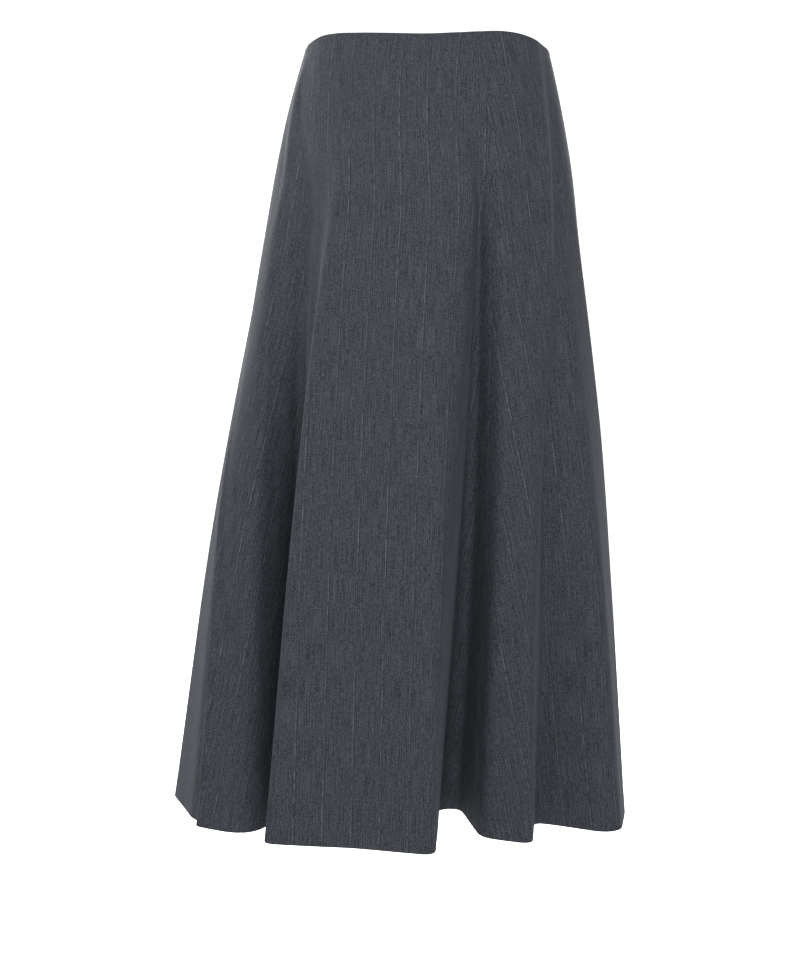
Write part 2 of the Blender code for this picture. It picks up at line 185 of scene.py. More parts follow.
def cubic_through(at, knots, values):
    """A curve through the knots: cubic pieces whose slope at a knot follows its neighbours."""
    knots = np.asarray(knots, float)
    values = np.asarray(values, float)
    slopes = np.gradient(values, knots)
    k = np.clip(np.searchsorted(knots, at) - 1, 0, len(knots) - 2)
    span = knots[k + 1] - knots[k]
    t = (at - knots[k]) / span
    rise = t * t * (3 - 2 * t)
    swing = span * t * (1 - t)
    return (values[k] * (1 - rise) + values[k + 1] * rise
            + swing * ((1 - t) * slopes[k] - t * slopes[k + 1]))


def body_point(bearing, drop):
    """The smooth body: a superellipse whose reaches and exponent follow the drop."""
    table = np.array(SECTIONS)
    side, front, back, power = (cubic_through(drop, table[:, 0], table[:, k]) for k in range(1, 5))
    east, south = np.sin(np.radians(bearing)), np.cos(np.radians(bearing))
    depth = np.where(south > 0, front, back)
    reach = (np.abs(east / side) ** power + np.abs(south / depth) ** power) ** (-1 / power)
    return reach * east, -reach * south


def turned_corner(before, corner, after, radius):
    """The arc that rounds one corner, and no longer than half of either side."""
    to_before, to_after = before - corner, after - corner
    sides = np.hypot(*to_before), np.hypot(*to_after)
    to_before, to_after = to_before / sides[0], to_after / sides[1]
    half = 0.5 * math.acos(float(np.clip(to_before @ to_after, -1, 1)))
    reach = min(radius / math.tan(half), 0.5 * min(sides))
    radius = reach * math.tan(half)
    middle = to_before + to_after
    centre = corner + middle / np.hypot(*middle) * radius / math.sin(half)
    first, last = (corner + way * reach - centre for way in (to_before, to_after))
    start = math.atan2(first[1], first[0])
    sweep = (math.atan2(last[1], last[0]) - start + math.pi) % (2 * math.pi) - math.pi
    angles = start + sweep * np.linspace(0, 1, 2 + int(abs(sweep) * radius / HEM_STEP))
    return centre + radius * np.column_stack((np.cos(angles), np.sin(angles)))


def even_steps(outline):
    """A closed outline in even steps: its points and its length round."""
    closed = np.vstack((outline, outline[:1]))
    distance = np.concatenate(([0], np.cumsum(np.hypot(*np.diff(closed, axis=0).T))))
    even = np.linspace(0, distance[-1], int(distance[-1] / HEM_STEP), endpoint=False)
    return np.column_stack([np.interp(even, distance, closed[:, k]) for k in (0, 1)]), distance[-1]


def hem_plan():
    """The hem seen from above: a closed outline of rounded corners, eased by a moving average."""
    corners = np.array([fold[:2] for fold in FOLDS])
    arcs = [turned_corner(corners[k - 1], corners[k], corners[(k + 1) % len(corners)], FOLDS[k][2])
            for k in range(len(corners))]
    outline, _ = even_steps(np.vstack(arcs))
    reach = round(HEM_SOFTNESS / HEM_STEP)
    weights = np.hanning(2 * reach + 3)[1:-1]
    offsets = range(-reach, reach + 1)
    eased = sum(w * np.roll(outline, k, axis=0) for w, k in zip(weights, offsets))
    outline, length = even_steps(eased / weights.sum())
    front = np.hypot(*(outline - corners[0]).T).argmin()
    outline = np.roll(outline, -front, axis=0)
    nearest = [np.hypot(*(outline - arc[len(arc) // 2]).T).argmin() for arc in arcs]
    return outline, length, np.array(nearest) * length / len(outline)


HEM_OUTLINE, HEM_ROUND, FOLD_PLACES = hem_plan()


def round_the_hem(at, places, values, turn=0.0):
    """A value known at places round the hem, as a closed smooth curve; it grows by turn a lap."""
    places = np.concatenate((places - HEM_ROUND, places, places + HEM_ROUND))
    values = np.asarray(values, float)
    values = np.concatenate((values - turn, values, values + turn))
    return cubic_through(at, places, values)


def smooth_cloth(column, drop):
    """The smooth body's point, moved by the hem's fold; the move grows evenly below its start."""
    column, drop = np.broadcast_arrays(np.asarray(column, float), np.asarray(drop, float))
    lap = column % HEM_ROUND
    places, waists, hips = np.array(list(LINES.values())).T
    waist = round_the_hem(lap, places, waists, 360.0)
    hip = round_the_hem(lap, places, hips, 360.0)
    ease = np.clip(drop / HIP_DROP, 0, 1)
    bearing = waist + (hip - waist) * ease * ease * (3 - 2 * ease)
    body = body_point(bearing, drop)
    body_at_hem = body_point(hip, np.full_like(drop, LENGTH))
    start = round_the_hem(lap, FOLD_PLACES, [fold[4] for fold in FOLDS])
    rise = np.maximum(round_the_hem(lap, FOLD_PLACES, [fold[3] for fold in FOLDS]), 0)
    grown, none, full = (FOLD_SOFTNESS * np.logaddexp(0, (d - start) / FOLD_SOFTNESS)
                         for d in (drop, 0.0, LENGTH))
    share = (grown - none) / (full - none)
    steps = np.arange(len(HEM_OUTLINE) + 1) * HEM_ROUND / len(HEM_OUTLINE)
    hem = [np.interp(lap, steps, np.append(HEM_OUTLINE[:, k], HEM_OUTLINE[0, k])) for k in (0, 1)]
    x, y = (body[k] + (hem[k] - body_at_hem[k]) * share for k in (0, 1))
    edge = round_the_hem(lap, *np.array(WAIST_EDGE).T)
    level = np.clip(1 - drop / WAIST_EASE, 0, 1)
    return np.stack((x, y, edge * level * level - drop * (1 - rise / LENGTH)), axis=-1)


# ---- relief ------------------------------------------------------------------------------

WAVES = 14              # slow undulations summed over the cloth
WAVE_LAPS = (4, 34)     # how many of one undulation go round the hem
WAVE_SLANT = 9          # radians that it shifts by in a metre down
WAVE_HEIGHTS = (0.00022, 0.00050)    # at the waist, and what the hem adds
GROOVE = (0.00045, 0.0012)           # depth and half width of a seam's groove
SEAM_STEP = 0.00012     # how far the allowances lift the cloth beside a seam
PUCKER = (0.00016, 0.013)            # height and reach of the puckers beside a seam
PUCKER_PITCH = 0.021
WAIST_DIP = (0.00018, 0.0065, 0.003)     # depth, drop and half width
HEM_DIP = (0.00022, 0.0035)              # depth and half width, at the blind stitches
HEM_STITCHES = 120      # dips of the blind stitches round the hem
PRESSED = (0.00012, 0.00015)         # how far the turnings lift the waist's and the hem's cloth


def ramp(x):
    """0 below 0, 1 above 1, and a smooth step between."""
    x = np.clip(x, 0, 1)
    return x * x * (3 - 2 * x)


def bell(x):
    """1 at 0, falling away on both sides as the exponential of minus x squared."""
    return np.exp(-x * x)


def crease_relief(column, drop, stretch):
    """The sum of the creases: a bell across each line, fading out towards its two ends."""
    height = np.zeros(np.broadcast(column, drop).shape)
    for top, top_drop, bottom, bottom_drop, bow, high, width in CREASES:
        t = (drop - top_drop) / (bottom_drop - top_drop)
        line = top + (bottom - top) * t + bow * 4 * t * (1 - t)
        off = (column - line + HEM_ROUND / 2) % HEM_ROUND - HEM_ROUND / 2
        ends = ramp(t / 0.3) * ramp((1 - t) / 0.4)
        height += high * bell(off * stretch / width) * ends
    return height


def slow_waves(column, drop):
    """Long uneven undulations that grow towards the hem: seeded sines round and down the cloth."""
    rng = np.random.default_rng(11)
    height = 0.0
    for _ in range(WAVES):
        laps = rng.integers(*WAVE_LAPS)
        down = rng.uniform(-WAVE_SLANT, WAVE_SLANT)
        phase = rng.uniform(0, 2 * np.pi)
        size = rng.uniform(0.3, 1.0) / (1 + laps / 14)
        height = height + size * np.sin(laps * 2 * np.pi * column / HEM_ROUND + down * drop + phase)
    return height * (WAVE_HEIGHTS[0] + WAVE_HEIGHTS[1] * ramp(drop / LENGTH))


def seam_relief(seam, drop):
    """A pressed seam: a groove, the faint step of its allowances, and small puckers along it."""
    groove = -GROOVE[0] * bell(seam / GROOVE[1])
    step = SEAM_STEP * ramp((ALLOWANCE + 0.002 - seam) / 0.004)
    swing = 2 * np.pi * drop / PUCKER_PITCH + 2.0 * np.sin(drop * 31)
    beat = np.sin(swing) + 0.6 * np.sin(drop * 173)
    puckers = PUCKER[0] * beat * bell(seam / PUCKER[1]) * (1 - bell(seam / 0.002))
    return groove + step + puckers


def edge_relief(column, drop):
    """The pressed edges: a dip under the waist's turned edge, and one at the hem's blind stitches,
    whose depth follows a sine round the hem."""
    above = LENGTH - drop
    depth, place, reach = WAIST_DIP
    waist = PRESSED[0] * bell(drop / reach) - depth * bell((drop - place) / reach)
    depth, reach = HEM_DIP
    swing = column * 2 * np.pi * HEM_STITCHES / HEM_ROUND + 3 * np.sin(column * 17)
    stitches = depth * (1 + 0.5 * np.sin(swing)) * bell((above - TURNING) / reach)
    return waist - stitches + PRESSED[1] * ramp(1 - above / TURNING)


# ---- gores -------------------------------------------------------------------------------

SEAM_COLUMNS = np.array((0.00005, 0.0010, 0.0024, 0.0048, 0.0085))
SEAM_CLEAR = 0.012      # the even columns start this far from a seam
GHOST = 0.002           # one more column past each seam, for the normals alone
BEND_WEIGHT = 0.012     # hem length that one radian of turn counts as
INNER_COLUMNS = 166
OUTER_ROWS = 200
TURNED_ROWS = 9         # down each turning
BEND_ROWS = 6           # round each fold
STRIP_SHORT = 0.0015    # an allowance ends this far short of the waist and the hem
STRIP_ROWS = 180
STRIP_COLUMNS = 6
STRIP_THINNED = 0.84    # of the cloth's thickness, where it is pressed flat
STRIP_LIFT = 0.00010    # most that its free edge lifts, by half


def fine_columns(first, last):
    """Columns from seam to seam, closer at the seams and where the hem bends."""
    samples = np.linspace(first + SEAM_CLEAR, last - SEAM_CLEAR, 4000)
    edge = np.diff(smooth_cloth(samples, LENGTH)[:, :2], axis=0)
    turn = np.abs(np.diff(np.unwrap(np.arctan2(edge[:, 1], edge[:, 0]))))
    weight = np.hypot(*edge.T)
    weight[1:] += BEND_WEIGHT * turn
    share = np.concatenate(([0], np.cumsum(weight)))
    inner = np.interp(np.linspace(0, share[-1], INNER_COLUMNS), share, samples)
    return np.concatenate(([first - GHOST], first + SEAM_COLUMNS, inner,
                           last - SEAM_COLUMNS[::-1], [last + GHOST]))


def gore_surface(first_seam, grain_line, last_seam):
    """The gore's relieved surface on a grid [row, column], and its cut: s across, t down.

    The cut is a fan: at each drop the gore is an arc about the fan's apex, and s and t are the
    arc's points square to the grain line and along it.
    """
    first, grain, last = (LINES[line][0] for line in (first_seam, grain_line, last_seam))
    if first > last:
        first -= HEM_ROUND
    columns = fine_columns(first, last)
    drops = np.linspace(0, LENGTH, OUTER_ROWS)
    point = smooth_cloth(columns[None, :], drops[:, None])
    steps = np.hypot(*np.moveaxis(np.diff(point, axis=1)[..., :2], -1, 0))
    arc = np.concatenate((np.zeros((len(drops), 1)), np.cumsum(steps, axis=1)), axis=1)
    k = np.searchsorted(columns, grain) - 1
    share = (grain - columns[k]) / (columns[k + 1] - columns[k])
    middle = arc[:, k] + (arc[:, k + 1] - arc[:, k]) * share
    start = arc[:, :1] * 0.5 + arc[:, 1:2] * 0.5
    end = arc[:, -2:-1] * 0.5 + arc[:, -1:] * 0.5
    seam = np.minimum(np.abs(arc - start), np.abs(end - arc))
    width = arc[:, -2] - arc[:, 1]
    fan = (width[-1] - width[0]) / LENGTH
    apex = (width / fan)[:, None]
    swing = (arc - middle[:, None]) / apex
    across = apex * np.sin(swing)
    along = drops[:, None] - apex * (1 - np.cos(swing))
    stretch = np.gradient(arc, columns, axis=1)
    column, drop = np.broadcast_arrays(columns[None, :], drops[:, None])
    high = (crease_relief(column, drop, stretch) + slow_waves(column, drop)
            + seam_relief(seam, drop) + edge_relief(column, drop))
    point = point + outward_of(point) * high[..., None]
    down = np.gradient(point, axis=0)
    down /= np.linalg.norm(down, axis=-1, keepdims=True)
    grids = {"point": point, "normal": outward_of(point), "down": down, "seam": seam,
             "cut": np.stack((across, along), axis=-1)}
    surface = {key: grid[:, 1:-1] for key, grid in grids.items()}
    surface.update(columns=columns[1:-1], drops=drops, width=width, area=np.trapz(width, drops))
    return surface


def outward_of(point):
    """The outward normals of a grid [row, column] of points, rows going down."""
    down = np.gradient(point, axis=0)
    around = np.gradient(point, axis=1)
    normal = np.cross(down, around)
    return normal / np.linalg.norm(normal, axis=-1, keepdims=True)


def folded_path():
    """The cloth's path in section, from the waist turning's free edge over the top, down the face,
    round the hem's fold and up to the hem turning's free edge: drop, depth, turn and free edge.

    The turn is the angle of the cloth's face from outward, 0 on the outside and pi on a turning.
    """
    middle = FACE - CLOTH / 2
    radius = (CLOTH + LAYER_GAP) / 2
    bend = np.linspace(0, np.pi, BEND_ROWS + 2)[1:-1]
    inside = np.linspace(TURNING, radius, TURNED_ROWS)
    outside = np.linspace(radius, LENGTH - radius, OUTER_ROWS + 2)
    drop = np.concatenate((inside, radius - radius * np.sin(bend), outside,
                           LENGTH - radius + radius * np.sin(bend), LENGTH - inside[::-1]))
    angle = np.concatenate((np.full(TURNED_ROWS, np.pi), np.pi - bend, np.zeros(len(outside)),
                            bend, np.full(TURNED_ROWS, np.pi)))
    depth = middle - radius + radius * np.cos(angle)
    free = np.full(len(drop), 1.0)      # far from a free edge, but for the two turnings
    free[:TURNED_ROWS] = TURNING - drop[:TURNED_ROWS]
    free[-TURNED_ROWS:] = drop[-TURNED_ROWS:] - (LENGTH - TURNING)
    return drop, depth, angle, free


def at_drops(surface, key, drops):
    """A grid of the surface read at other drops: between two rows, in proportion."""
    rows = surface["drops"]
    k = np.clip(np.searchsorted(rows, drops) - 1, 0, len(rows) - 2)
    share = (drops - rows[k]) / (rows[k + 1] - rows[k])
    grid = surface[key]
    share = share.reshape(-1, *(1,) * (grid.ndim - 1))
    return grid[k] + (grid[k + 1] - grid[k]) * share


def wall_mesh(name, outer, inner, maps):
    """A closed wall between two grids [row, column] with a rim all round, and its UV maps."""
    rows, columns = outer.shape[:2]
    numbers = np.arange(rows * columns).reshape(rows, columns)
    corners = [numbers[:-1, :-1], numbers[1:, :-1], numbers[1:, 1:], numbers[:-1, 1:]]
    sheet = np.stack(corners, axis=-1).reshape(-1, 4)
    rim = np.concatenate((numbers[:, 0], numbers[-1, 1:], numbers[-2::-1, -1], numbers[0, -2:0:-1]))
    after = np.roll(rim, -1)
    offset = rows * columns
    edge = np.column_stack((rim, rim + offset, after + offset, after))
    faces = np.vstack((sheet, sheet[:, ::-1] + offset, edge))
    points = np.vstack((outer.reshape(-1, 3), inner.reshape(-1, 3)))
    mesh = quad_mesh(name, points, faces)
    for title, grid in maps.items():
        flat = np.tile(grid.reshape(-1, 2), (2, 1))
        layer = mesh.uv_layers.new(name=title)
        layer.data.foreach_set("uv", flat[faces.ravel()].ravel())
    return mesh


def quad_mesh(name, points, faces):
    """A mesh of four-sided faces, from arrays of points and of corner numbers."""
    mesh = bpy.data.meshes.new(name)
    mesh.vertices.add(len(points))
    mesh.vertices.foreach_set("co", points.ravel())
    mesh.loops.add(faces.size)
    mesh.loops.foreach_set("vertex_index", faces.ravel())
    mesh.polygons.add(len(faces))
    mesh.polygons.foreach_set("loop_start", np.arange(len(faces)) * 4)
    mesh.update(calc_edges=True)
    mesh.shade_smooth()
    return mesh


def piece(name, mesh, finish, body="skirt", crisp=40):
    """A finished piece at the origin, riding on its body."""
    made = bpy.data.objects.new(name, mesh)
    bpy.context.scene.collection.objects.link(made)
    mesh.materials.append(finish)
    mesh.set_sharp_from_angle(angle=math.radians(crisp))
    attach(made, body)
    return made


def gore_piece(node, surface, finish):
    """One gore with its waist and hem turned in: the folded path carried along every column.

    A turning lies deeper beside a seam, where it passes over the seam's allowances.
    """
    drop, depth, angle, free = folded_path()
    turned = angle > 0.9 * np.pi
    point, normal = at_drops(surface, "point", drop), at_drops(surface, "normal", drop)
    normal /= np.linalg.norm(normal, axis=-1, keepdims=True)
    down, seam = at_drops(surface, "down", drop), at_drops(surface, "seam", drop)
    over = turned[:, None] * (CLOTH + LAYER_GAP) * ramp((ALLOWANCE + 0.004 - seam) / 0.003)
    middle = point + normal * (depth[:, None] - over)[..., None]
    top = np.where(drop < LENGTH / 2, -1.0, 1.0)
    facing = (normal * np.cos(angle)[:, None, None]
              + down * (top * np.sin(angle))[:, None, None])
    edge = np.stack((np.broadcast_to(free[:, None], seam.shape),
                     np.broadcast_to(surface["columns"], seam.shape)), axis=-1)
    mesh = wall_mesh(node + "_cloth", middle + facing * CLOTH / 2, middle - facing * CLOTH / 2,
                     {"cut": at_drops(surface, "cut", drop), "edge": edge})
    made = piece(node + "_cloth", mesh, finish)
    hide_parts(node)
    return made


def allowance_strip(name, surface, side, finish):
    """One pressed seam allowance: a strip of even width inside the gore's edge, a little short of
    the folds at the waist and the hem. Its free edge lifts a little, and unevenly, off the cloth.
    """
    drops = np.linspace(STRIP_SHORT, LENGTH - STRIP_SHORT, STRIP_ROWS)
    point, normal = at_drops(surface, "point", drops), at_drops(surface, "normal", drops)
    if side == "last":
        point, normal = point[:, ::-1], normal[:, ::-1]
    steps = np.linalg.norm(np.diff(point, axis=1), axis=-1)
    distance = np.concatenate((np.zeros((len(drops), 1)), np.cumsum(steps, axis=1)), axis=1)
    across = np.linspace(SEAM_COLUMNS[0], ALLOWANCE, STRIP_COLUMNS)
    count = (distance < ALLOWANCE * 1.5).sum(axis=1).max() + 1
    distance, point, normal = distance[:, :count], point[:, :count], normal[:, :count]
    k = np.clip((distance[:, :, None] < across).sum(axis=1) - 1, 0, count - 2)
    row = np.arange(len(drops))[:, None]
    share = ((across - distance[row, k]) / (distance[row, k + 1] - distance[row, k]))[..., None]
    middle = point[row, k] + (point[row, k + 1] - point[row, k]) * share
    normal = normal[row, k] + (normal[row, k + 1] - normal[row, k]) * share
    uneven = 1 + np.sin(drops * 61 + 2 * np.sin(drops * 23))
    lift = STRIP_LIFT * uneven[:, None] * (across / ALLOWANCE)
    depth = FACE - CLOTH - LAYER_GAP - CLOTH / 2 - lift
    middle = middle + normal * depth[..., None]
    thick = normal * CLOTH * STRIP_THINNED / 2
    cut = np.stack(np.broadcast_arrays(across[None] - ALLOWANCE, drops[:, None]), axis=-1)
    edge = np.stack(np.broadcast_arrays(ALLOWANCE - across[None], drops[:, None]), axis=-1)
    grids = [middle + thick, middle - thick, cut, edge]
    if side == "last":
        grids = [grid[:, ::-1] for grid in grids]
    mesh = wall_mesh(name, grids[0], grids[1], {"cut": grids[2], "edge": grids[3]})
    return piece(name, mesh, finish)


# ---- finishes ----------------------------------------------------------------------------


class Wire:
    """An output socket of a material, with arithmetic."""

    def __init__(self, finish, socket):
        self.finish = finish
        self.socket = socket

    def __add__(self, other):
        return self.finish.maths("ADD", self, other)

    def __sub__(self, other):
        return self.finish.maths("SUBTRACT", self, other)

    def __rsub__(self, other):
        return self.finish.maths("SUBTRACT", other, self)

    def __mul__(self, other):
        return self.finish.maths("MULTIPLY", self, other)

    __radd__ = __add__

    def __truediv__(self, other):
        return self.finish.maths("DIVIDE", self, other)


class Finish:
    """A material being built round its Principled shader."""

    def __init__(self, name, **fixed):
        self.material = bpy.data.materials.new(name)
        self.material.use_nodes = True
        self.tree = self.material.node_tree
        self.shader = self.tree.nodes["Principled BSDF"]
        for title, value in fixed.items():
            self.shader.inputs[title.replace("_", " ")].default_value = value

    def node(self, kind, settings=None, values=None, outputs=(0,)):
        """Adds a node: its type, its settings, and the values or wires of its sockets."""
        made = self.tree.nodes.new(kind)
        for title, value in (settings or {}).items():
            setattr(made, title, value)
        for title, value in (values or {}).items():
            self.put(made.inputs[title], value)
        wires = [Wire(self, made.outputs[k]) for k in outputs]
        return wires[0] if len(wires) == 1 else wires

    def put(self, socket, value):
        """Links a wire to a socket, or sets the socket to a value."""
        if isinstance(value, Wire):
            self.tree.links.new(value.socket, socket)
        else:
            socket.default_value = value

    def maths(self, operation, *values, clamp=False):
        """One Math node on numbers or wires."""
        settings = {"operation": operation, "use_clamp": clamp}
        return self.node("ShaderNodeMath", settings, dict(enumerate(values)))

    def step(self, x, low, high):
        """0 to 1 as x goes from low to high, smoothly."""
        return self.node("ShaderNodeMapRange", {"interpolation_type": "SMOOTHSTEP"},
                         {"Value": x, "From Min": low, "From Max": high})

    def point(self, x, y, z=0.0):
        """A place for a texture to be read at."""
        return self.node("ShaderNodeCombineXYZ", None, {"X": x, "Y": y, "Z": z})

    def axes(self, title):
        """The two axes of a UV map, in metres."""
        uv = self.node("ShaderNodeUVMap", {"uv_map": title})
        return self.node("ShaderNodeSeparateXYZ", None, {"Vector": uv}, (0, 1))

    def place(self):
        """The shaded point's own place on its object."""
        return self.node("ShaderNodeTexCoord", None, None, (3,))

    def noise(self, place, scale=1.0, detail=1.0, roughness=0.5):
        """Soft noise about 0.5; the scale is in cells a metre."""
        return self.node("ShaderNodeTexNoise", None, {"Vector": place, "Scale": scale,
                                                      "Detail": detail, "Roughness": roughness})

    def blend(self, share, first, second):
        """The first colour where the share is 0, the second where it is 1."""
        return self.node("ShaderNodeMix", {"data_type": "RGBA"},
                         {0: share, 6: first, 7: second}, (2,))

    def colour(self, wire):
        """Feeds the base colour."""
        self.put(self.shader.inputs["Base Color"], wire)

    def rough(self, wire):
        """Feeds the roughness."""
        self.put(self.shader.inputs["Roughness"], wire)

    def bump(self, height, distance, strength):
        """Tilts the shading normal by the slope of a height."""
        normal = self.node("ShaderNodeBump", None,
                           {"Height": height, "Distance": distance, "Strength": strength})
        self.put(self.shader.inputs["Normal"], normal)


WARP_PITCH = 0.0022
TWILL_PITCH = 0.0011
SHADOW_OFFSET = 0.0013  # from a stripe's pale thread to the dark one beside it
DOT_PITCH = 0.0034      # along a stripe's pale thread, where it dips under the weft
OVERLOCK_WIDTH = 0.0045


def suiting():
    """Blue-grey wool suiting, from the cut's s across and t along the grain.

    Its tone sums noises drawn out along the yarns. A stripe is a thin band where s is a whole
    number of pitches, broken by noise along t. The free edges are overlocked.
    """
    wool = Finish("wool_suiting", Specular_IOR_Level=0.25, Sheen_Weight=0.08,
                  Sheen_Roughness=0.25, Sheen_Tint=(0.80, 0.86, 1.0, 1.0))
    s, t = wool.axes("cut")
    free, run = wool.axes("edge")

    slub = wool.noise(wool.point(s * 880, t * 30))
    yarn = wool.noise(wool.point(s * 1150, t * 180, 3.0))
    weft = wool.noise(wool.point(s * 150, t * 900, 7.0))
    fleck = wool.noise(wool.point(s * 1150, t * 620, 9.0))
    sway = wool.noise(wool.point(s * 40, t * 7, 5.0))
    warp = wool.maths("SINE", s * (2 * math.pi / WARP_PITCH) + sway * 25)
    tone = (0.5 + (slub - 0.5) * 1.5 + (yarn - 0.5) * 1.7 + (weft - 0.5) * 0.6
            + (fleck - 0.5) * 2.4 + warp * 0.12)

    lane = s / STRIPE_PITCH + 0.5
    number = wool.maths("FLOOR", lane)
    side = (lane - number) - 0.5
    off = wool.maths("ABSOLUTE", side) * STRIPE_PITCH
    beside = wool.maths("ABSOLUTE", side - SHADOW_OFFSET / STRIPE_PITCH) * STRIPE_PITCH
    dash = wool.noise(wool.point(number * 7.31, t * 105), 1.0, 2.0, 0.6)
    fade = wool.noise(wool.point(number * 3.17, t * 9))
    dots = 0.75 + wool.maths("SINE", t * (2 * math.pi / DOT_PITCH)) * 0.25
    thread = (1 - wool.step(off, 0.00022, 0.00066)) * wool.step(dash, 0.38, 0.58) * dots
    thread = thread * wool.step(fade, 0.25, 0.65)
    shadow = (1 - wool.step(beside, 0.0003, 0.0009)) * wool.step(fade, 0.15, 0.55)

    tint = wool.noise(wool.place(), 230, 2.0, 0.6)
    dark = wool.blend(tint, (0.0085, 0.0135, 0.0220, 1), (0.0160, 0.0135, 0.0130, 1))
    pale = wool.blend(tint, (0.0490, 0.0645, 0.0880, 1), (0.0650, 0.0640, 0.0680, 1))
    cloth = wool.blend(wool.maths("ADD", tone, 0.0, clamp=True), dark, pale)
    cloth = wool.blend(shadow * 0.50, cloth, (0.014, 0.017, 0.022, 1))
    cloth = wool.blend(thread * 0.60, cloth, (0.17, 0.17, 0.175, 1))
    stitch = wool.maths("ABSOLUTE", wool.maths("SINE", run * 1100 + free * 900))
    bound = 1 - wool.step(free, OVERLOCK_WIDTH, OVERLOCK_WIDTH + 0.0007)
    bound = bound * wool.step(stitch, 0.35, 0.75)
    wool.colour(wool.blend(bound * 0.85, cloth, (0.10, 0.108, 0.125, 1)))

    twill = wool.maths("SINE", (s + t) * (2 * math.pi / TWILL_PITCH))
    height = twill * 0.35 + slub * 1.2 + yarn * 1.0 + weft * 0.8 + thread * 0.7 + bound * 2.0
    wool.bump(height, 0.00025, 0.55)
    wool.rough(0.78 + (yarn - 0.5) * 0.3)
    return wool.material


RIB_PITCHES = (0.0012, 0.0009)      # across the tape and along it


def tape_weave():
    """Woven zip tape: the product of two sines, across and along, under fine fuzz."""
    tape = Finish("woven_tape", Sheen_Weight=0.15)
    s, t = tape.axes("cut")
    across, along = (tape.maths("SINE", place * (2 * math.pi / pitch))
                     for place, pitch in ((s, RIB_PITCHES[0]), (t, RIB_PITCHES[1])))
    fuzz = tape.noise(tape.point(s * 1500, t * 1500), 1.0, 2.0, 0.6)
    tape.colour(tape.blend(fuzz, (0.020, 0.022, 0.028, 1), (0.052, 0.056, 0.066, 1)))
    tape.bump(across * along + fuzz, 0.0002, 0.6)
    tape.rough(0.72 + fuzz * 0.2)
    return tape.material


def enamel():
    """Dark enamel on cast metal, worn a little thinner in patches."""
    paint = Finish("zip_enamel", Metallic=0.35, Coat_Roughness=0.25)
    patch = paint.noise(paint.place(), 900, 3.0, 0.6)
    worn = paint.step(patch, 0.55, 0.75)
    paint.colour(paint.blend(worn, (0.032, 0.036, 0.044, 1), (0.075, 0.080, 0.090, 1)))
    paint.rough(0.34 + patch * 0.2)
    paint.bump(patch, 0.00004, 0.5)
    return paint.material


# ---- zip ---------------------------------------------------------------------------------

TAPE_WIDTH = 0.024
TAPE_ENDS = (0.006, 0.206)          # drops
TAPE_DEPTH = 0.0016                 # of its middle, inside the cloth's smooth form
TAPE_SAG = 0.001225                 # how much deeper its two edges lie
TAPE_THICKNESS = 0.0004
TAPE_GRID = (60, 9)
COIL_PITCH = 0.0014
COIL_TURNS = 138
COIL_START = 0.004                  # below the tape's top
COIL_REACH = 0.0019                 # half of a loop's width
COIL_DEPTHS = (0.0021, 0.0009)      # of a loop's feet, and how much deeper its crown lies
COIL_WIRE = 0.00045                 # half of a loop's thickness along the seam
COIL_GRID = (7, 6)                  # points along a loop and round its wire


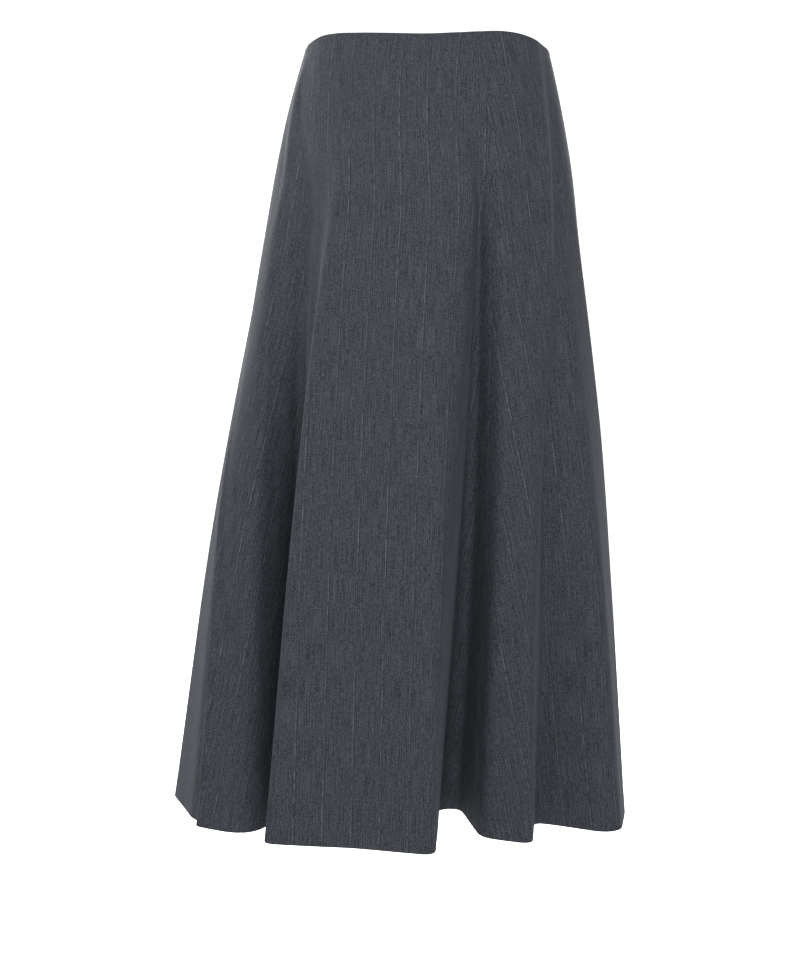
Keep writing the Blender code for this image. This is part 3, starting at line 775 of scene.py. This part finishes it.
def tape_and_coil(left, back, weave):
    """The zip inside the left back seam: its tape over the allowances, and the closed coil on it.

    The tape is flat across the seam, deeper by the square of the way out to its edges. A loop of
    the coil is a half ellipse across the seam, with an oval wire carried along it.
    """
    drops = np.linspace(*TAPE_ENDS, TAPE_GRID[0])
    grids = []
    # Each gore's column at the seam, and the third one in from it.
    for surface, edge, inward in ((left, -1, -4), (back, 0, 3)):
        point, normal = at_drops(surface, "point", drops), at_drops(surface, "normal", drops)
        way = point[:, inward] - point[:, edge]
        way /= np.linalg.norm(way, axis=-1, keepdims=True)
        grids.append((point[:, edge], normal[:, inward], way))
    seam = (grids[0][0] + grids[1][0]) / 2
    normal = grids[0][1] + grids[1][1]
    normal /= np.linalg.norm(normal, axis=-1, keepdims=True)
    around = grids[1][2] - grids[0][2]
    around /= np.linalg.norm(around, axis=-1, keepdims=True)
    across = np.linspace(-0.5, 0.5, TAPE_GRID[1]) * TAPE_WIDTH
    depth = TAPE_DEPTH + TAPE_SAG * (across / across[-1]) ** 2
    middle = (seam[:, None] + around[:, None] * across[None, :, None]
              - normal[:, None] * depth[None, :, None])
    cut = np.stack(np.broadcast_arrays(across[None], drops[:, None]), axis=-1)
    thick = normal[:, None] * TAPE_THICKNESS / 2
    mesh = wall_mesh("zip_tape_woven", middle + thick, middle - thick, {"cut": cut})
    tape = piece("zip_tape_woven", mesh, weave)
    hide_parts("zip_tape")

    lane = TAPE_ENDS[0] + COIL_START + np.arange(COIL_TURNS) * COIL_PITCH
    axis = [np.stack([np.interp(lane, drops, grid[:, k]) for k in range(3)], axis=-1)
            for grid in (seam, normal, around)]
    sweep = np.linspace(0, np.pi, COIL_GRID[0])[:, None]
    spin = np.linspace(0, 2 * np.pi, COIL_GRID[1], endpoint=False)[None, :]
    reach = COIL_REACH * np.cos(sweep) * (1 + 0.12 * np.cos(spin))
    lift = COIL_DEPTHS[0] + COIL_DEPTHS[1] * np.sin(sweep) * (1 + 0.25 * np.cos(spin))
    along = COIL_WIRE * np.sin(spin) * np.ones_like(sweep)
    down = np.gradient(axis[0], axis=0) / COIL_PITCH
    loops = (axis[0][:, None, None] + axis[2][:, None, None] * reach[None, ..., None]
             - axis[1][:, None, None] * lift[None, ..., None]
             + down[:, None, None] * along[None, ..., None])
    count = reach.size
    ring = np.arange(count).reshape(COIL_GRID)
    after = np.roll(ring, -1, axis=1)
    faces = np.stack((ring[:-1], after[:-1], after[1:], ring[1:]), axis=-1).reshape(-1, 4)
    cap = np.array(((0, 1, 2, 3), (0, 3, 4, 5)))
    faces = np.vstack((faces, cap[:, ::-1], np.roll(cap, -1, axis=1) + ring[-1, 0]))
    faces = (faces[None] + count * np.arange(COIL_TURNS)[:, None, None]).reshape(-1, 4)
    mesh = quad_mesh("zip_coil", loops.reshape(-1, 3), faces)
    piece("zip_coil", mesh, weave, crisp=60)


# ---- stage -------------------------------------------------------------------------------

FLOOR = -1.10
FLOOR_REACH = 5.0       # from the skirt's middle to the backdrop's foot and to the near edge
SWEEP_RADIUS = 1.2
BACKDROP_SIZE = (12.0, 6.0)
GLOW = 0.60
CAMERA_BEARING = 30.0   # degrees from the front towards the wearer's left


def pale_paper():
    """White paper that glows a little, with a faint grain."""
    paper = Finish("pale_paper", Roughness=0.9, Emission_Color=(1, 1, 1, 1), Emission_Strength=GLOW)
    grain = paper.noise(paper.place(), 40, 2.0)
    paper.colour(paper.blend(grain, (0.90, 0.90, 0.90, 1), (0.8865, 0.8865, 0.8865, 1)))
    return paper.material


def stage():
    """A pale floor that turns up into a backdrop behind, swept along a quarter circle."""
    turn = np.linspace(0, math.pi / 2, 13)
    foot = FLOOR_REACH - SWEEP_RADIUS
    run = np.concatenate(([-FLOOR_REACH], foot + SWEEP_RADIUS * np.sin(turn), [FLOOR_REACH]))
    high = np.concatenate(([0], SWEEP_RADIUS * (1 - np.cos(turn)), [BACKDROP_SIZE[1]])) + FLOOR
    side = np.array((-0.5, 0.5)) * BACKDROP_SIZE[0]
    bearing = math.radians(CAMERA_BEARING)
    away = np.array((-math.sin(bearing), math.cos(bearing), 0))
    right = np.array((math.cos(bearing), math.sin(bearing), 0))
    points = (away * run[:, None, None] + right * side[None, :, None]
              + np.array((0, 0, 1.0)) * high[:, None, None])
    rows = len(run)
    numbers = np.arange(rows * 2).reshape(rows, 2)
    faces = np.stack((numbers[:-1, 0], numbers[:-1, 1], numbers[1:, 1], numbers[1:, 0]), axis=-1)
    sweep = bpy.data.objects.new("backdrop", quad_mesh("backdrop", points.reshape(-1, 3), faces))
    bpy.context.scene.collection.objects.link(sweep)
    sweep.data.materials.append(pale_paper())
    sweep.visible_diffuse = False
    sweep.visible_glossy = False


LIGHTS = (
    # name, with left and right as the camera sees them, place, power in watts, size
    ("key", (1.97, -2.19, 1.2), 7, 1.6),
    ("front_fill", (1.50, -2.60, 0.3), 43, 1.6),
    ("right_hip", (1.13, -0.22, 0.30), 2.0, 0.5),
    ("left_hip", (-0.74, -0.69, 0.30), 3.8, 0.5),
    ("left_fill", (-1.66, -2.38, 0.4), 1.5, 1.0),
    ("back", (-1.10, 2.10, 0.6), 100, 2.4),
    ("back_left", (-2.01, 0.69, 0.3), 18, 1.0),
)
DAYLIGHT = 0.69
SKIRT_MIDDLE = Vector((0, 0, -0.42))


def soft_light(name, place, power, size):
    """A square soft box that looks at the middle of the skirt."""
    light = bpy.data.lights.new(name, "AREA")
    light.energy = power
    light.size = size
    box = bpy.data.objects.new(name, light)
    bpy.context.scene.collection.objects.link(box)
    box.visible_camera = False
    box.location = place
    box.rotation_euler = (SKIRT_MIDDLE - Vector(place)).to_track_quat("-Z", "Y").to_euler()


def daylight():
    """An even white sky."""
    world = bpy.data.worlds.new("studio")
    world.use_nodes = True
    sky = world.node_tree.nodes["Background"]
    sky.inputs["Color"].default_value = (1, 1, 1, 1)
    sky.inputs["Strength"].default_value = DAYLIGHT
    bpy.context.scene.world = world


CAMERA_PLACE = (1.0395, -1.8247, -0.3116)
CAMERA_DIP = 4.587      # degrees below level
CAMERA_LEAN = 2.0       # degrees about its own axis
LENS = 70.125           # mm, on a sensor 36 mm wide


def camera():
    """Stands 2.1 m off at its bearing, dips and leans over."""
    lens = bpy.data.cameras.new("camera")
    lens.lens = LENS
    lens.sensor_width = 36.0
    lens.clip_end = 60.0
    made = bpy.data.objects.new("camera", lens)
    bpy.context.scene.collection.objects.link(made)
    dip, bearing = math.radians(CAMERA_DIP), math.radians(CAMERA_BEARING)
    level = Vector((-math.sin(bearing), math.cos(bearing), 0))
    way = level * math.cos(dip) - Vector((0, 0, math.sin(dip)))
    lean = Matrix.Rotation(math.radians(CAMERA_LEAN), 4, "Z")
    turn = way.to_track_quat("-Z", "Y").to_matrix().to_4x4() @ lean
    made.matrix_world = Matrix.Translation(CAMERA_PLACE) @ turn
    bpy.context.scene.camera = made


# ---- the skirt ---------------------------------------------------------------------------

wool = suiting()
surfaces = {}
for node, first_seam, grain_line, last_seam in GORES:
    surface = gore_surface(first_seam, grain_line, last_seam)
    surfaces[node] = surface
    gore = gore_piece(node, surface, wool)
    strips = [allowance_strip(f"{node}_{side}_allowance", surface, side, wool)
              for side in ("first", "last")]
    width = surface["width"]
    area = surface["area"] + TURNING * (width[0] + width[-1])
    width.max() + 2 * ALLOWANCE
tape_and_coil(surfaces["gore_left"], surfaces["gore_back"], tape_weave())
metal = enamel()
for node in ("zip_slider", "zip_pull"):
    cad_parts[node].data.materials.clear()
    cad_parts[node].data.materials.append(metal)

stage()
camera()
for light in LIGHTS:
    soft_light(*light)
daylight()
bpy.context.scene.view_settings.view_transform = "Standard"
